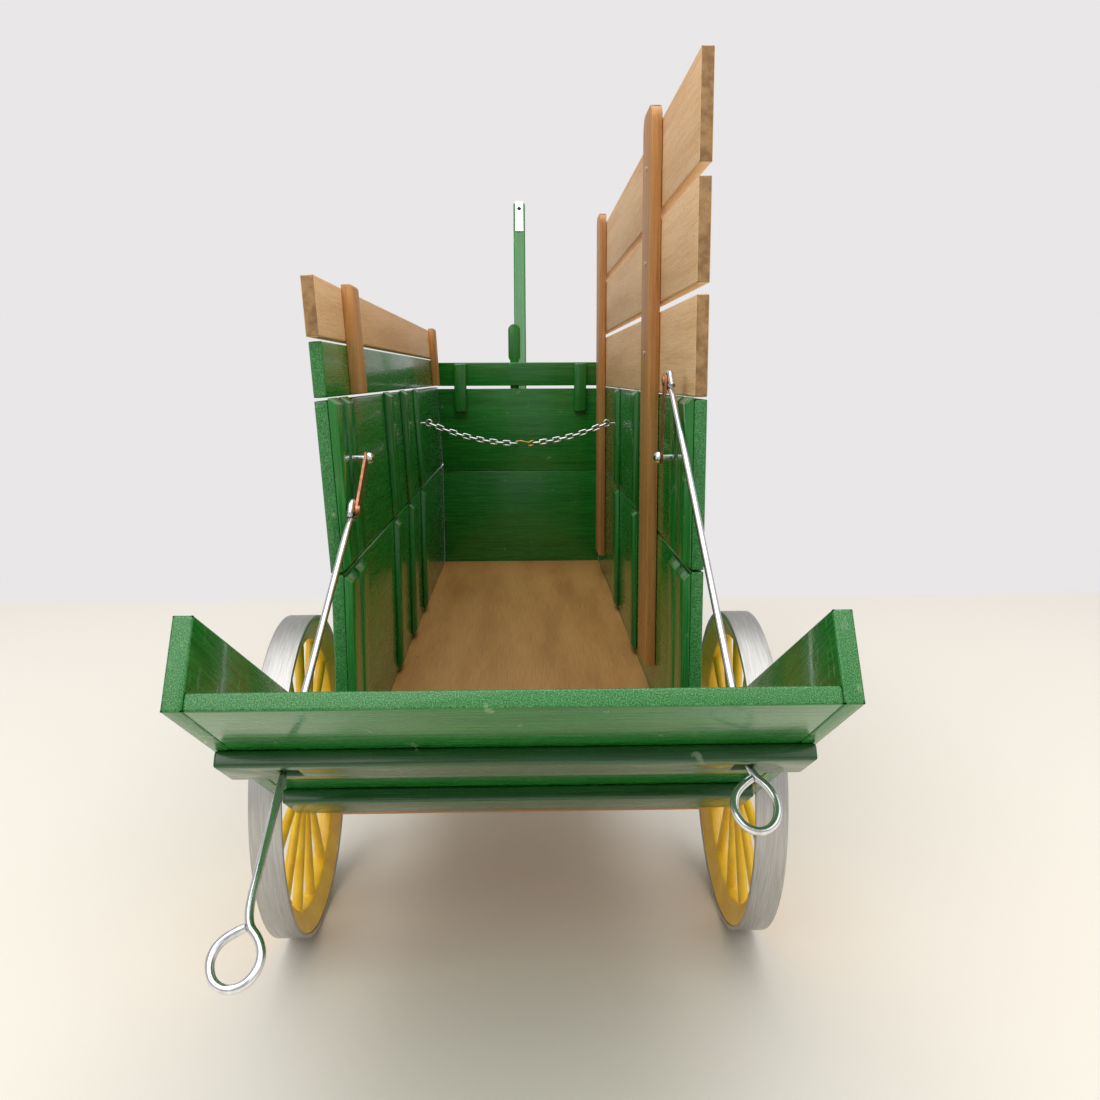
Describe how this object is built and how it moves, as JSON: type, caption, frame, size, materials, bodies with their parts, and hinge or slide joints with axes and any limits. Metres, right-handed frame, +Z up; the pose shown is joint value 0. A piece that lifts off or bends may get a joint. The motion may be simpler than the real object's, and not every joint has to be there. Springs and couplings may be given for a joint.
{
  "type": "model farm wagon",
  "caption": "Scale model of a horse-drawn farm grain wagon with extension side boards, scoop tailboard on stay rods, spoked wheels, steering front gear and raised tongue.",
  "frame": {"origin": "on the ground, under the middle of the whole wagon", "axes": "+Y forwards along the wagon, from the tailboard to the tongue; +Z up; +X to the right seen from behind"},
  "size_m": [0.2748, 0.976, 0.5113],
  "materials": {
    "green_paint": "gloss green enamel brushed over wood",
    "natural_wood": "bare sanded hardwood, lightly oiled",
    "yellow_wheel": "moulded, semi-gloss yellow",
    "tyre_metal": "dull grey metal band",
    "bright_steel": "bright plated wire",
    "copper_strap": "dull copper-coloured strap",
    "brass": "bright wire"
  },
  "bodies": {
    "box": {"floor_panel": "natural_wood", "floor_sills": "green_paint", "right_lower_side": "green_paint", "left_lower_side": "green_paint", "right_upper_side": "green_paint", "left_upper_side": "green_paint", "right_cleats": "green_paint", "left_cleats": "green_paint", "left_third_board": "green_paint", "left_top_board": "natural_wood", "left_stakes": "natural_wood", "front_gate_boards": "green_paint", "front_gate_battens": "green_paint", "line_post": "green_paint", "hinge_rod": "bright_steel", "hinge_nuts": "bright_steel", "hinge_brackets": "bright_steel", "stay_pins": "bright_steel", "chain_eyes": "bright_steel", "rear_axle": "natural_wood", "rear_axle_pins": "bright_steel", "rear_axle_nuts": "bright_steel", "rear_bolster": "green_paint", "reach": "green_paint", "front_bolster": "green_paint", "king_pin": "bright_steel"},
    "bang_boards": {"bang_board_lower": "natural_wood", "bang_board_middle": "natural_wood", "bang_board_upper": "natural_wood", "bang_board_uprights": "natural_wood", "bang_board_nails": "bright_steel"},
    "tailboard": {"tailboard_panel": "green_paint", "tailboard_left_wing": "green_paint", "tailboard_right_wing": "green_paint", "tailboard_mid_batten": "green_paint", "tailboard_hinge_batten": "green_paint", "tailboard_straps": "bright_steel"},
    "left_link": {"left_stay_link": "copper_strap"},
    "left_rod": {"left_stay_rod": "bright_steel"},
    "right_link": {"right_stay_link": "copper_strap"},
    "right_rod": {"right_stay_rod": "bright_steel"},
    "cross_chain": {"chain_left_links": "bright_steel", "chain_right_links": "bright_steel", "chain_hook": "brass"},
    "rear_left_wheel_set": {"rear_left_wheel": "yellow_wheel", "rear_left_tyre": "tyre_metal"},
    "rear_right_wheel_set": {"rear_right_wheel": "yellow_wheel", "rear_right_tyre": "tyre_metal"},
    "front_left_wheel_set": {"front_left_wheel": "yellow_wheel", "front_left_tyre": "tyre_metal"},
    "front_right_wheel_set": {"front_right_wheel": "yellow_wheel", "front_right_tyre": "tyre_metal"},
    "front_gear": {"front_axle": "natural_wood", "front_axle_pins": "bright_steel", "front_axle_nuts": "bright_steel", "hounds": "green_paint", "hound_bolts": "bright_steel", "tongue_bolt": "bright_steel"},
    "tongue": {"tongue_pole": "green_paint", "tongue_tip_strap": "bright_steel"}
  },
  "joints": [
    {"name": "tailboard_hinge", "type": "hinge", "parent": "box", "child": "tailboard", "pos_m": [0, -0.30346, 0.099], "axis": [-1, 0, 0], "range_deg": [0, 20]},
    {"name": "right_link_pivot", "type": "hinge", "parent": "box", "child": "right_link", "pos_m": [0.07965, -0.26296, 0.266], "axis": [-1, 0, 0], "range_deg": [-1, 5]},
    {"name": "right_rod_pivot", "type": "hinge", "parent": "right_link", "child": "right_rod", "pos_m": [0.0756, -0.27331, 0.30464], "axis": [-1, 0, 0], "range_deg": [-3, 1]},
    {"name": "left_link_pivot", "type": "hinge", "parent": "box", "child": "left_link", "pos_m": [-0.08259, -0.26296, 0.2665], "axis": [-1, 0, 0], "range_deg": [-1, 5]},
    {"name": "left_rod_pivot", "type": "hinge", "parent": "left_link", "child": "left_rod", "pos_m": [-0.079, -0.2962, 0.24425], "axis": [-1, 0, 0], "range_deg": [-1, 3]},
    {"name": "bang_boards_lift", "type": "slide", "parent": "box", "child": "bang_boards", "axis": [0, 0, 1], "range_m": [0, 0.24]},
    {"name": "chain_swing", "type": "hinge", "parent": "box", "child": "cross_chain", "pos_m": [-0.07631, 0.08204, 0.26885], "axis": [1, 0, -0.0057], "range_deg": [-40, 40]},
    {"name": "front_gear_steer", "type": "hinge", "parent": "box", "child": "front_gear", "pos_m": [0, 0.23604, 0.078], "axis": [0, 0, 1], "range_deg": [-14, 14]},
    {"name": "tongue_pitch", "type": "hinge", "parent": "front_gear", "child": "tongue", "pos_m": [0, 0.33504, 0.0575], "axis": [1, 0, 0], "range_deg": [-77, 8]},
    {"name": "rear_left_wheel_spin", "type": "hinge", "parent": "box", "child": "rear_left_wheel_set", "pos_m": [0, -0.23296, 0.088], "axis": [1, 0, 0], "continuous": true},
    {"name": "rear_right_wheel_spin", "type": "hinge", "parent": "box", "child": "rear_right_wheel_set", "pos_m": [0, -0.23296, 0.088], "axis": [1, 0, 0], "continuous": true},
    {"name": "front_left_wheel_spin", "type": "hinge", "parent": "front_gear", "child": "front_left_wheel_set", "pos_m": [0, 0.23604, 0.078], "axis": [1, 0, 0], "continuous": true},
    {"name": "front_right_wheel_spin", "type": "hinge", "parent": "front_gear", "child": "front_right_wheel_set", "pos_m": [0, 0.23604, 0.078], "axis": [1, 0, 0], "continuous": true}
  ],
  "couplings": [
    {"joint": "right_link_pivot", "follows": "tailboard_hinge", "ratio": 0.2},
    {"joint": "right_rod_pivot", "follows": "tailboard_hinge", "ratio": -0.1},
    {"joint": "left_link_pivot", "follows": "tailboard_hinge", "ratio": 0.2},
    {"joint": "left_rod_pivot", "follows": "tailboard_hinge", "ratio": 0.1}
  ]
}
